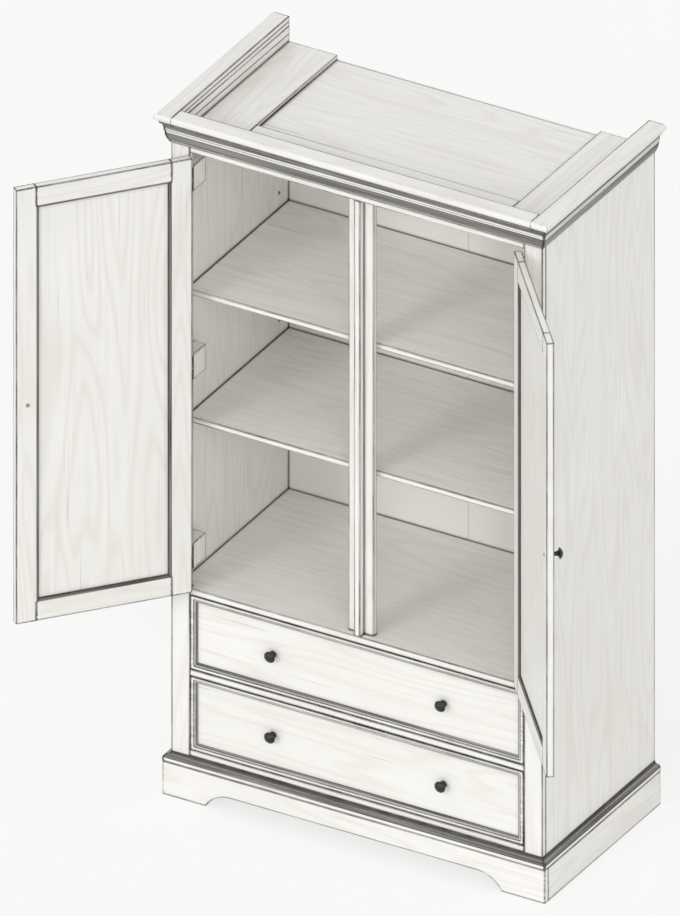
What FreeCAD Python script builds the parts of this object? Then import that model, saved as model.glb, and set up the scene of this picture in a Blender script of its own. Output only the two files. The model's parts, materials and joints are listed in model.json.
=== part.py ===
import FreeCAD, Part
import math
import operator
import os
import Sketcher

# A two-door linen cupboard over two drawers, on a moulded plinth and under a moulded cornice.
# Inside the sketches X runs from the left side panel's outer face, Y from the front of the
# face frame towards the back, and Z up from the floor, all in millimetres.
# The finished pieces are shifted so that the origin is on the floor, at the centre of the
# space that the cupboard takes with its doors standing open as they are drawn.

SIZES = {
    # carcass boards
    "body_width": 1030,
    "body_depth": 540,
    "side_board": 16,
    "frame_board": 16,
    "stile_width": 51,
    "bottom_board": 16,
    "floor_board": 17.5,
    "top_board": 18,
    "back_board": 4.5,
    "back_rebate": 8,
    # openings in the face frame, from the bottom up
    "drawer_opening": 206.5,
    "rail_rise": 17.5,
    "rail_depth": 60,
    "door_opening": 1209,
    # plinth
    "plinth_rise": 93,
    "plinth_board": 16,
    "arch_rise": 40,
    "arch_radius": 80,
    "foot_width": 120,
    "base_rail_board": 16,
    "base_rail_rise": 65,
    # moulding on top of the plinth
    "plinth_cap_rise": 25,
    "plinth_cap_reach": 16.5,
    "plinth_cap_nose": 9,
    "plinth_cap_round": 8,
    "plinth_cap_step": 1,
    "plinth_cap_lip": 1,
    # battens and cornice on top of the body
    "batten_board": 12,
    "batten_width": 150,
    "front_batten_depth": 152,
    "cornice_back": 16,
    "cornice_rise": 54.5,
    "cornice_foot": 4.5,
    "cornice_foot_rise": 5,
    "cornice_step": 1.5,
    "cornice_swell": 6.5,
    "cornice_swell_rise": 29,
    "cornice_swell_radius": 60,
    "cornice_fillet_rise": 3.5,
    "cornice_cove": 6.5,
    "cornice_cove_radius": 22,
    "crown_rise": 26.5,
    "crown_fillet_rise": 2,
    "crown_cove": 5,
    "crown_cove_rise": 7,
    "crown_cove_radius": 8,
    "crown_nose_reach": 27.5,
    "crown_top_reach": 25,
    "crown_nose_radius": 9.5,
    # V-shaped quirks run along the inner faces of the cornice and the crown
    "inner_quirk_width": 3,
    "inner_quirk_depth": 1.5,
    "cornice_quirk_level": 33,
    "crown_quirk_level": 12.5,
    # centre post and shelves
    "post_width": 17,
    "post_depth": 19.5,
    "post_board_width": 70,
    "post_board": 16,
    "shelf_board": 16,
    "shelf_front_gap": 10,
    "shelf_play": 1,
    "lower_shelf_height": 431,
    "upper_shelf_height": 784.5,
    "shelf_pin_radius": 2.5,
    "shelf_pin_play": 0.05,
    "shelf_pin_sink": 10,
    "shelf_pin_reach": 12,
    "shelf_pin_front_inset": 21,
    "shelf_pin_back_inset": 45,
    "shelf_pin_pitch": 60,
    "shelf_pin_collar_radius": 4,
    # doors
    "door_gap": 2.5,
    "door_board": 19,
    "door_member": 60,
    "door_bevel": 8,
    "door_bevel_depth": 5.5,
    "door_bevel_radius": 9,
    "panel_board": 6,
    "panel_recess": 6.5,
    "panel_groove": 5.5,
    "panel_play": 0.3,
    "door_angle": 130,
    # butt hinges
    "hinge_height": 64,
    "hinge_end_distance": 81,
    "leaf_board": 1.2,
    "leaf_width": 17,
    "barrel_radius": 3,
    "barrel_clearance": 0.3,
    "knuckle_play": 0.2,
    "pin_radius": 1.5,
    "pin_play": 0.05,
    "pin_head_radius": 2.6,
    "pin_head_rise": 1.8,
    "block_height": 70,
    "block_depth": 62,
    # screws
    "screw_radius": 1.5,
    "screw_head_radius": 2.8,
    "screw_length": 16,
    "screw_play": 0.05,
    "screw_spacing": 22,
    "screw_row": 6,
    "screw_stagger": 5,
    "bolt_radius": 2,
    "bolt_grip": 10,
    "bolt_head_radius": 4,
    "bolt_head_rise": 2.4,
    # turned knobs
    "knob_radius": 15,
    "knob_reach": 27,
    "knob_rim_height": 18,
    "knob_rose_radius": 8.5,
    "knob_rose_rise": 2,
    "knob_neck_radius": 5.5,
    "knob_neck_height": 8.5,
    "knob_rose_cove_radius": 6.5,
    "knob_flare_radius": 9,
    "knob_dome_radius": 17,
    "knob_bore_play": 0.05,
    "knob_bore_spare": 2,
    "door_knob_inset": 30,
    "drawer_knob_spread": 473,
    # drawers
    "drawer_gap": 2,
    "drawer_border": 18,
    "drawer_border_flat": 9,
    "drawer_quirk": 2,
    "drawer_quirk_ledge": 1.5,
    "drawer_recess": 7,
    "drawer_side_board": 12,
    "drawer_side_height": 150,
    "drawer_back_gap": 35.5,
    "drawer_side_gap": 1.5,
    "drawer_bottom_board": 5,
    "drawer_bottom_height": 8,
    "drawer_groove": 5,
    "drawer_groove_play": 0.2,
    "runner_ledge": 16,
    "runner_ledge_rise": 12,
    "runner_rise": 42,
    "runner_front_gap": 1,
    "runner_back_gap": 15.5,
    # how far a cutting shape runs past the piece that it cuts
    "overrun": 2,
}

# The five knuckles of a hinge, counted from its bottom, alternate between its two leaves.
KNUCKLE_COUNT = 5
FRAME_KNUCKLES = (0, 2, 4)
DOOR_KNUCKLES = (1, 3)

# Three shelf-pin bores or hinge screws stand in a row, one of them in the middle.
ROW_STEPS = (-1, 0, 1)

FULL_TURN = 360

COLUMN_NAME = "A"
COLUMN_SIZE = "B"

document = FreeCAD.newDocument("linen_cupboard")
sheet = document.addObject("Spreadsheet::Sheet", "sizes")
for row, (size_name, millimetres) in enumerate(SIZES.items(), start=1):
    sheet.set(COLUMN_NAME + str(row), size_name)
    sheet.set(COLUMN_SIZE + str(row), str(millimetres))
    sheet.setAlias(COLUMN_SIZE + str(row), size_name)
document.recompute()

OPERATIONS = {"+": operator.add, "-": operator.sub, "*": operator.mul, "/": operator.truediv}


class Size:
    """A size that carries both its number and its formula in terms of the sheet."""

    def __init__(self, number, formula):
        self.number = float(number)
        self.formula = formula

    def __add__(self, other):
        return joined(self, "+", other)

    def __radd__(self, other):
        return joined(other, "+", self)

    def __sub__(self, other):
        return joined(self, "-", other)

    def __rsub__(self, other):
        return joined(other, "-", self)

    def __mul__(self, other):
        return joined(self, "*", other)

    def __rmul__(self, other):
        return joined(other, "*", self)

    def __truediv__(self, other):
        return joined(self, "/", other)

    def __neg__(self):
        return Size(-self.number, "(-" + self.formula + ")")


def as_size(value):
    if isinstance(value, Size):
        return value
    return Size(value, str(value))


def joined(left, sign, right):
    left, right = as_size(left), as_size(right)
    number = OPERATIONS[sign](left.number, right.number)
    return Size(number, "(" + left.formula + " " + sign + " " + right.formula + ")")


def root_of(size):
    return Size(math.sqrt(size.number), "sqrt(" + size.formula + ")")


def sine(size):
    return Size(math.sin(math.radians(size.number)), "sin(" + size.formula + ")")


def cosine(size):
    return Size(math.cos(math.radians(size.number)), "cos(" + size.formula + ")")


def arctangent(rise, run):
    degrees = math.degrees(math.atan2(rise.number, run.number))
    return Size(degrees, "atan(" + rise.formula + " / " + run.formula + ")")


class Sizes:
    """The sheet's sizes by name, such as s.body_width."""

    def __init__(self, table):
        for name in table:
            setattr(self, name, Size(getattr(sheet, name), "sizes." + name))


s = Sizes(SIZES)

# Levels from the floor up.
bottom_level = s.plinth_rise + s.plinth_cap_rise
lower_drawer_level = bottom_level + s.bottom_board
rail_level = lower_drawer_level + s.drawer_opening
upper_drawer_level = rail_level + s.rail_rise
floor_level = upper_drawer_level + s.drawer_opening
door_level = floor_level + s.floor_board
top_level = door_level + s.door_opening
deck_level = top_level + s.top_board
cornice_level = deck_level + s.batten_board
crown_level = deck_level + s.cornice_rise

# Widths and depths.
middle = s.body_width / 2
inner_width = s.body_width - 2 * s.side_board
opening_width = s.body_width - 2 * s.stile_width
back_plane = s.body_depth - s.back_board
shelf_front = s.post_depth + s.post_board + s.shelf_front_gap
drawer_length = back_plane - s.drawer_back_gap - s.door_board
cornice_reach = s.crown_nose_reach + s.crown_nose_radius

# Door leaves: each fills half of the opening beside the centre post, less its gaps.
door_width = (opening_width - s.post_width) / 2 - 2 * s.door_gap
door_height = s.door_opening - 2 * s.door_gap
door_bottom = door_level + s.door_gap
hinge_offset = s.barrel_radius + s.barrel_clearance
hinge_inset = s.stile_width + s.door_gap / 2
hinge_levels = [
    door_level + s.hinge_end_distance,
    door_level + s.door_opening / 2,
    top_level - s.hinge_end_distance,
]
leaf_start = s.door_gap / 2 - s.leaf_board

# The open door's free back corner is the foremost point of the whole cupboard.
door_corner_x = s.door_gap / 2 + door_width
door_corner_y = hinge_offset + s.door_board
front_reach = hinge_offset + door_corner_x * sine(s.door_angle) - door_corner_y * cosine(s.door_angle)
origin_depth = (s.body_depth - front_reach) / 2

finished = []

DIRECTIONS = {
    "+x": FreeCAD.Rotation(FreeCAD.Vector(0, 1, 0), 90),
    "-x": FreeCAD.Rotation(FreeCAD.Vector(0, 1, 0), -90),
    "+y": FreeCAD.Rotation(FreeCAD.Vector(1, 0, 0), -90),
    "-y": FreeCAD.Rotation(FreeCAD.Vector(1, 0, 0), 90),
    "+z": FreeCAD.Rotation(),
}

PLANES = {
    "XY": (FreeCAD.Rotation(), FreeCAD.Vector(0, 0, 1), "z"),
    "XZ": (FreeCAD.Rotation(FreeCAD.Vector(1, 0, 0), 90), FreeCAD.Vector(0, 1, 0), "y"),
    "YZ": (FreeCAD.Rotation(FreeCAD.Vector(1, 1, 1), 120), FreeCAD.Vector(1, 0, 0), "x"),
}


def bind(thing, path, size):
    thing.setExpression(path, as_size(size).formula)


def move_to(thing, at, rotation=FreeCAD.Rotation()):
    """Put a piece at a point whose three sizes stay bound to the sheet."""
    at = [as_size(size) for size in at]
    base = FreeCAD.Vector(*[size.number for size in at])
    thing.Placement = FreeCAD.Placement(base, rotation)
    for axis, size in zip("xyz", at):
        bind(thing, "Placement.Base." + axis, size)


def box(name, at, size):
    thing = document.addObject("Part::Box", name)
    for side, length in zip(("Length", "Width", "Height"), size):
        bind(thing, side, length)
    move_to(thing, at)
    return thing


def cylinder(name, at, direction, radius, length):
    thing = document.addObject("Part::Cylinder", name)
    bind(thing, "Radius", radius)
    bind(thing, "Height", length)
    move_to(thing, at, DIRECTIONS[direction])
    return thing


def cone(name, at, direction, first_radius, last_radius, length):
    thing = document.addObject("Part::Cone", name)
    bind(thing, "Radius1", first_radius)
    bind(thing, "Radius2", last_radius)
    bind(thing, "Height", length)
    move_to(thing, at, DIRECTIONS[direction])
    return thing


def arc_summit(start, end, radius, side):
    """The middle of the shorter arc whose centre is left (1) or right (-1) of the way."""
    chord = end - start
    half = chord.Length / 2
    across = FreeCAD.Vector(-chord.y, chord.x, 0).normalize()
    sagitta = radius - math.sqrt(radius * radius - half * half)
    return (start + end) / 2 - across * side * sagitta


def draw_outline(sketch, outline):
    """Draw a closed outline of corners (across, up).

    A corner that an arc leads to is (across, up, radius, side), and side says where the arc's
    centre is: left (1) or right (-1) of the way along the outline.
    """
    corners = [[as_size(value) for value in point[:2]] for point in outline]
    spots = [FreeCAD.Vector(across.number, up.number, 0) for across, up in corners]
    count = len(outline)
    first, last, origin = 1, 2, -1
    edge_ends = []
    for index in range(count):
        following = outline[(index + 1) % count]
        start, end = spots[index], spots[(index + 1) % count]
        if len(following) == 2:
            sketch.addGeometry(Part.LineSegment(start, end))
            edge_ends.append((first, last))
            continue
        radius, side = as_size(following[2]), following[3]
        summit = arc_summit(start, end, radius.number, side)
        # Every arc is laid counter-clockwise, so one that turns right is laid from its end.
        if side > 0:
            sketch.addGeometry(Part.Arc(start, summit, end))
            edge_ends.append((first, last))
        else:
            sketch.addGeometry(Part.Arc(end, summit, start))
            edge_ends.append((last, first))
        limit = sketch.addConstraint(Sketcher.Constraint("Radius", index, radius.number))
        bind(sketch, "Constraints[%d]" % limit, radius)
    for index in range(count):
        following = (index + 1) % count
        sketch.addConstraint(Sketcher.Constraint(
            "Coincident", index, edge_ends[index][1], following, edge_ends[following][0]))
    for index, (across, up) in enumerate(corners):
        for kind, size in (("DistanceX", across), ("DistanceY", up)):
            limit = sketch.addConstraint(Sketcher.Constraint(
                kind, origin, first, index, edge_ends[index][0], size.number))
            bind(sketch, "Constraints[%d]" % limit, size)


def prism(name, plane, outline, start, length):
    """A closed outline on a plane, pushed along the plane's axis from start."""
    rotation, direction, axis = PLANES[plane]
    sketch = document.addObject("Sketcher::SketchObject", name + "_outline")
    sketch.Placement = FreeCAD.Placement(direction * as_size(start).number, rotation)
    bind(sketch, "Placement.Base." + axis, start)
    draw_outline(sketch, outline)
    thing = document.addObject("Part::Extrusion", name)
    thing.Base = sketch
    thing.DirMode = "Custom"
    thing.Dir = direction
    thing.Solid = True
    bind(thing, "LengthFwd", length)
    return thing


def grouped(kind, name, links):
    thing = document.addObject(kind, name)
    if kind == "Part::Compound":
        thing.Links = links
    else:
        thing.Shapes = links
    return thing


def cut(name, base, tools):
    thing = document.addObject("Part::Cut", name)
    thing.Base = base
    thing.Tool = tools[0] if len(tools) == 1 else grouped("Part::Compound", name + "_tools", tools)
    return thing


def common(name, first, second):
    thing = document.addObject("Part::Common", name)
    thing.Base = first
    thing.Tool = second
    return thing


def fuse(name, shapes):
    return grouped("Part::MultiFuse", name, shapes)


def group(name, shapes):
    return grouped("Part::Compound", name, shapes)


def finish(thing, label, home):
    """Name a finished piece and put it in its home: the carcass, a drawer or a hinged door."""
    thing.Label = label
    point, angle = home
    move_to(thing, point)
    if angle is not None:
        thing.Placement.Rotation = FreeCAD.Rotation(FreeCAD.Vector(0, 0, 1), angle.number)
        bind(thing, "Placement.Rotation.Angle", angle)
    finished.append(thing)
    return thing


carcass = ((-middle, -origin_depth, 0), None)


def board(label, at, size):
    """A plain rectangular board of the carcass or of a drawer."""
    spot = [place + shift for place, shift in zip(at, carcass[0])]
    thing = box(label, spot, size)
    thing.Label = label
    finished.append(thing)
    return thing


def flipped(outline):
    """The same outline for the right-hand piece, mirrored about the cupboard's middle."""
    return [mirrored_point(point, s.body_width) for point in outline]


def mirrored_point(point, width):
    if len(point) == 2:
        return (width - point[0], point[1])
    across, up, radius, side = point
    return (width - across, up, radius, -side)


def on_side(outline, side_name):
    return flipped(outline) if side_name == "right" else outline


def from_left(side_name, x, width=0):
    """The low X of something that lies at x from the left, or its mirror image on the right."""
    return s.body_width - x - width if side_name == "right" else x


SIDES = ("left", "right")


def make_side_panels():
    """Full-height side panels, rebated for the back and bored for the shelf pins."""
    for side in SIDES:
        rebate_x = s.side_board - s.back_rebate
        outline = [
            (0, s.frame_board),
            (s.side_board, s.frame_board),
            (s.side_board, back_plane),
            (rebate_x, back_plane),
            (rebate_x, s.body_depth),
            (0, s.body_depth),
        ]
        blank = prism("side_blank", "XY", on_side(outline, side), 0, deck_level)
        inward = "-x" if side == "left" else "+x"
        bores = []
        for y in shelf_pin_rows():
            for height in (s.lower_shelf_height, s.upper_shelf_height):
                for step in ROW_STEPS:
                    z = door_level + height - s.shelf_pin_radius + step * s.shelf_pin_pitch
                    at = (from_left(side, s.side_board), y, z)
                    radius = s.shelf_pin_radius + s.shelf_pin_play
                    bores.append(cylinder("pin_bore", at, inward, radius, s.shelf_pin_sink))
        finish(cut("side_panel", blank, bores), "side_panel_" + side, carcass)


def shelf_pin_rows():
    return (shelf_front + s.shelf_pin_front_inset, back_plane - s.shelf_pin_back_inset)


def leaf_screw_places(level):
    """The height, and the depth behind the leaf's front edge, of each screw of one leaf."""
    for step in ROW_STEPS:
        stagger = s.screw_stagger if step == 0 else 0
        yield level + step * s.screw_spacing, s.screw_row + stagger


def hinge_screw_places():
    """The same for every hinge on one side of the cupboard."""
    for level in hinge_levels:
        yield from leaf_screw_places(level)


def make_stiles():
    """Face-frame stiles in front of the side panels, bored on edge for the hinge screws."""
    for side in SIDES:
        corner = (from_left(side, 0, s.stile_width), 0, 0)
        blank = box("stile_blank", corner, (s.stile_width, s.frame_board, deck_level))
        inward = "-x" if side == "left" else "+x"
        bores = []
        for z, y in hinge_screw_places():
            at = (from_left(side, s.stile_width), y, z)
            length = s.screw_length - s.leaf_board + s.screw_play
            bores.append(cylinder("screw_bore", at, inward, s.screw_radius + s.screw_play, length))
        finish(cut("stile", blank, bores), "frame_stile_" + side, carcass)


def make_notched_panel(label, level, thickness):
    """A horizontal board between the side panels, notched to pass between the stiles."""
    left_half = [
        (s.stile_width, 0),
        (s.stile_width, s.frame_board),
        (s.side_board, s.frame_board),
        (s.side_board, back_plane),
    ]
    outline = left_half + flipped(left_half)[::-1]
    finish(prism(label, "XY", outline, level, thickness), label, carcass)


def make_carcass_boards():
    """The boards that tie the sides together, the back, the drawer rail and the centre post."""
    make_notched_panel("bottom_panel", bottom_level, s.bottom_board)
    make_notched_panel("cupboard_floor", floor_level, s.floor_board)
    make_notched_panel("top_panel", top_level, s.top_board)
    rebate_x = s.side_board - s.back_rebate
    back_height = deck_level - bottom_level
    back_width = middle - rebate_x
    for side in SIDES:
        corner = (from_left(side, rebate_x, back_width), back_plane, bottom_level)
        board("back_panel_" + side, corner, (back_width, s.back_board, back_height))
    board("drawer_rail", (s.stile_width, 0, rail_level), (opening_width, s.rail_depth, s.rail_rise))
    post_corner = (middle - s.post_width / 2, 0, door_level)
    board("centre_post", post_corner, (s.post_width, s.post_depth, s.door_opening))
    stop_corner = (middle - s.post_board_width / 2, s.post_depth, door_level)
    board("door_stop_board", stop_corner, (s.post_board_width, s.post_board, s.door_opening))


def make_shelves():
    """Two loose shelves resting on collared steel pins."""
    width = inner_width - 2 * s.shelf_play
    heights = {"lower_shelf": s.lower_shelf_height, "upper_shelf": s.upper_shelf_height}
    pins = []
    for label, height in heights.items():
        corner = (s.side_board + s.shelf_play, shelf_front, door_level + height)
        board(label, corner, (width, back_plane - shelf_front, s.shelf_board))
        for side in SIDES:
            inward = "+x" if side == "left" else "-x"
            for y in shelf_pin_rows():
                z = door_level + height - s.shelf_pin_radius
                start = (from_left(side, s.side_board - s.shelf_pin_sink), y, z)
                wall = (from_left(side, s.side_board), y, z)
                length = s.shelf_pin_sink + s.shelf_pin_reach
                shank = cylinder("pin_shank", start, inward, s.shelf_pin_radius, length)
                collar = cylinder("pin_collar", wall, inward, s.shelf_pin_collar_radius, s.shelf_play)
                pins.append(fuse("shelf_pin", [shank, collar]))
    finish(group("pins", pins), "shelf_pins", carcass)


def make_hinge_blocks():
    """Wooden blocks behind the stiles that back each hinge."""
    blocks = []
    for side in SIDES:
        width = s.stile_width - s.side_board
        for level in hinge_levels:
            x = from_left(side, s.side_board, width)
            corner = (x, s.frame_board, level - s.block_height / 2)
            blocks.append(box("block", corner, (width, s.block_depth, s.block_height)))
    finish(group("blocks", blocks), "hinge_blocks", carcass)


def make_plinth():
    """Plinth boards round the front and sides, with an arch cut in the front one."""
    board_t = s.plinth_board
    below = s.arch_radius - s.arch_rise
    arch_run = root_of(s.arch_radius * s.arch_radius - below * below)
    foot_end = s.foot_width - board_t
    left_half = [
        (-board_t, s.plinth_rise),
        (-board_t, 0),
        (foot_end, 0),
        (foot_end + arch_run, s.arch_rise, s.arch_radius, -1),
    ]
    mirror = flipped(left_half)
    # The right half runs the other way round, so its arc arrives at the foot instead.
    right_half = [mirror[3][:2], mirror[2] + (s.arch_radius, -1), mirror[1], mirror[0]]
    front = prism("plinth_front_board", "XZ", left_half + right_half, -board_t, board_t)
    finish(front, "plinth_front", carcass)
    for side in SIDES:
        corner = (from_left(side, -board_t, board_t), 0, 0)
        board("plinth_" + side, corner, (board_t, s.body_depth, s.plinth_rise))
    rails = []
    rail_size = (inner_width, s.base_rail_board, s.base_rail_rise)
    for y in (s.frame_board, back_plane - s.base_rail_board):
        rails.append(box("rail", (s.side_board, y, bottom_level - s.base_rail_rise), rail_size))
    finish(group("rails", rails), "base_rails", carcass)


def mitred_mouldings(name, profile, inside):
    """Front and side lengths of one moulding, mitred at the two front corners.

    The profile lists (reach, height) points, where reach is how far a point stands out from the
    body. The moulding's back lies at -inside at most, measured the same way.
    """
    reach = cornice_reach
    front_profile = [reached(point, -1) for point in profile]
    front_stock = prism(name + "_front_stock", "YZ", front_profile, -reach, s.body_width + 2 * reach)
    front_plan = [
        (-reach, -reach),
        (s.body_width + reach, -reach),
        (s.body_width - inside, inside),
        (inside, inside),
    ]
    low = profile[0][1] - s.overrun
    rise = s.crown_rise + s.cornice_rise + 2 * s.overrun
    front_mitre = prism(name + "_front_mitre", "XY", front_plan, low, rise)
    finish(common(name + "_front_piece", front_stock, front_mitre), name + "_front", carcass)
    for side in SIDES:
        outline = on_side([reached(point, -1) for point in profile], side)
        stock = prism(name + "_side_stock", "XZ", outline, -reach, s.body_depth + reach)
        plan = [(-reach, -reach), (inside, inside), (inside, s.body_depth), (-reach, s.body_depth)]
        mitre = prism(name + "_side_mitre", "XY", on_side(plan, side), low, rise)
        finish(common(name + "_side_piece", stock, mitre), name + "_" + side, carcass)


def reached(point, sign):
    """A profile point as a sketch point, with the reach measured outwards from the body."""
    if len(point) == 2:
        return (sign * point[0], point[1])
    reach, height, radius, side = point
    return (sign * reach, height, radius, sign * side)


def make_plinth_cap():
    """Moulding on top of the plinth: a nose, a quarter round, a step and a small cove."""
    nose = s.plinth_rise + s.plinth_cap_nose
    step = nose + s.plinth_cap_round
    shoulder = s.plinth_cap_reach - s.plinth_cap_round
    profile = [
        (0, s.plinth_rise),
        (s.plinth_cap_reach, s.plinth_rise),
        (s.plinth_cap_reach, nose),
        (shoulder, step, s.plinth_cap_round, 1),
        (shoulder - s.plinth_cap_step, step),
        (s.plinth_cap_lip, bottom_level, s.plinth_cap_round, -1),
        (0, bottom_level),
    ]
    mitred_mouldings("plinth_cap", profile, 0)


def inner_quirk(level):
    """The points of a quirk in the inner face of the cornice, from the top down."""
    half = s.inner_quirk_width / 2
    return [
        (-s.cornice_back, level + half),
        (-s.cornice_back + s.inner_quirk_depth, level),
        (-s.cornice_back, level - half),
    ]


def make_cornice():
    """The cornice: a mitred bed moulding and, on top of it, a crown of three nosed boards."""
    foot_top = deck_level + s.cornice_foot_rise
    swell_foot = s.cornice_foot + s.cornice_step
    swell_top = deck_level + s.cornice_swell_rise + s.cornice_foot_rise
    swell_reach = swell_foot + s.cornice_swell
    cove_foot = swell_reach + s.cornice_step
    cove_start = swell_top + s.cornice_fillet_rise
    cove_reach = cove_foot + s.cornice_cove
    bed = [
        (0, deck_level),
        (s.cornice_foot, deck_level),
        (s.cornice_foot, foot_top),
        (swell_foot, foot_top),
        (swell_reach, swell_top, s.cornice_swell_radius, 1),
        (cove_foot, swell_top),
        (cove_foot, cove_start),
        (cove_reach, crown_level, s.cornice_cove_radius, -1),
        (-s.cornice_back, crown_level),
        *inner_quirk(deck_level + s.cornice_quirk_level),
        (-s.cornice_back, cornice_level),
        (0, cornice_level),
    ]
    mitred_mouldings("cornice", bed, s.cornice_back)

    fillet_reach = cove_reach + s.cornice_step
    crown_top = crown_level + s.crown_rise
    crown_cove_foot = crown_level + s.crown_fillet_rise
    crown_cove_top = crown_cove_foot + s.crown_cove_rise
    face = [
        (fillet_reach, crown_level),
        (fillet_reach, crown_cove_foot),
        (fillet_reach + s.crown_cove, crown_cove_top, s.crown_cove_radius, -1),
        (s.crown_nose_reach, crown_cove_top),
        (s.crown_top_reach, crown_top, s.crown_nose_radius, 1),
    ]
    back = [
        (-s.cornice_back, crown_top),
        *inner_quirk(crown_level + s.crown_quirk_level),
        (-s.cornice_back, crown_level),
    ]
    profile = face + back
    front_profile = [reached(point, -1) for point in profile]
    front = prism("crown_front_board", "YZ", front_profile, s.cornice_back,
                  s.body_width - 2 * s.cornice_back)
    finish(front, "crown_front", carcass)
    # The side boards run through to the front, where their ends carry the same nose.
    ends = face + [(-s.body_depth, crown_top), (-s.body_depth, crown_level)]
    for side in SIDES:
        outline = on_side(front_profile, side)
        stock = prism("crown_side_stock", "XZ", outline, -cornice_reach, s.body_depth + cornice_reach)
        nosed = prism("crown_side_end", "YZ", [reached(point, -1) for point in ends],
                      -cornice_reach, s.body_width + 2 * cornice_reach)
        finish(common("crown_side_board", stock, nosed), "crown_" + side, carcass)


def make_battens():
    """Flat battens on the top panel that carry the cornice: two along the sides, one in front."""
    width = s.batten_width
    side_size = (width, s.body_depth, s.batten_board)
    battens = [box("batten", (from_left(side, 0, width), 0, deck_level), side_size) for side in SIDES]
    front_size = (s.body_width - 2 * width, s.front_batten_depth, s.batten_board)
    battens.append(box("batten", (width, 0, deck_level), front_size))
    finish(group("battens", battens), "top_battens", carcass)


def make_runners():
    """L-shaped wooden runners on the side panels, one under each side of each drawer."""
    runners = []
    start = s.door_board + s.runner_front_gap
    length = back_plane - s.runner_back_gap - start
    for level in (lower_drawer_level, upper_drawer_level):
        ledge_top = level + s.runner_ledge_rise
        ledge_end = s.stile_width + s.runner_ledge
        outline = [
            (s.side_board, level),
            (ledge_end, level),
            (ledge_end, ledge_top),
            (s.stile_width, ledge_top),
            (s.stile_width, level + s.runner_rise),
            (s.side_board, level + s.runner_rise),
        ]
        for side in SIDES:
            runners.append(prism("runner", "XZ", on_side(outline, side), start, length))
    finish(group("runners", runners), "drawer_runners", carcass)


def knob_body(name, at):
    """A turned knob with a rose, a neck, a flared head and a blind bore for its screw."""
    body = document.addObject("PartDesign::Body", name)
    sketch = body.newObject("Sketcher::SketchObject", name + "_profile")
    planes = {feature.Role: feature for feature in body.Origin.OriginFeatures}
    sketch.AttachmentSupport = (planes["XZ_Plane"], [""])
    sketch.MapMode = "FlatFace"
    bore = s.bolt_radius + s.knob_bore_play
    bore_depth = s.bolt_grip + s.knob_bore_spare
    outline = [
        (bore, 0),
        (s.knob_rose_radius, 0),
        (s.knob_rose_radius, s.knob_rose_rise),
        (s.knob_neck_radius, s.knob_neck_height, s.knob_rose_cove_radius, -1),
        (s.knob_radius, s.knob_rim_height, s.knob_flare_radius, -1),
        (0, s.knob_reach, s.knob_dome_radius, 1),
        (0, bore_depth),
        (bore, bore_depth),
    ]
    draw_outline(sketch, outline)
    turned = body.newObject("PartDesign::Revolution", name + "_turning")
    turned.Profile = sketch
    turned.ReferenceAxis = (sketch, ["V_Axis"])
    turned.Angle = FULL_TURN
    move_to(body, at, DIRECTIONS["-y"])
    return body


def knob_screw(name, at, through):
    """A pan-head machine screw that comes from behind, through the wood and into the knob."""
    head_at = (at[0], at[1] + through, at[2])
    head = cylinder(name + "_head", head_at, "+y", s.bolt_head_radius, s.bolt_head_rise)
    length = through + s.bolt_grip
    shank = cylinder(name + "_shank", head_at, "-y", s.bolt_radius, length)
    return fuse(name, [head, shank])


def knob_screw_bore(at, through):
    start = (at[0], at[1] - s.overrun, at[2])
    length = through + 2 * s.overrun
    return cylinder("knob_screw_bore", start, "+y", s.bolt_radius + s.screw_play, length)


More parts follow.
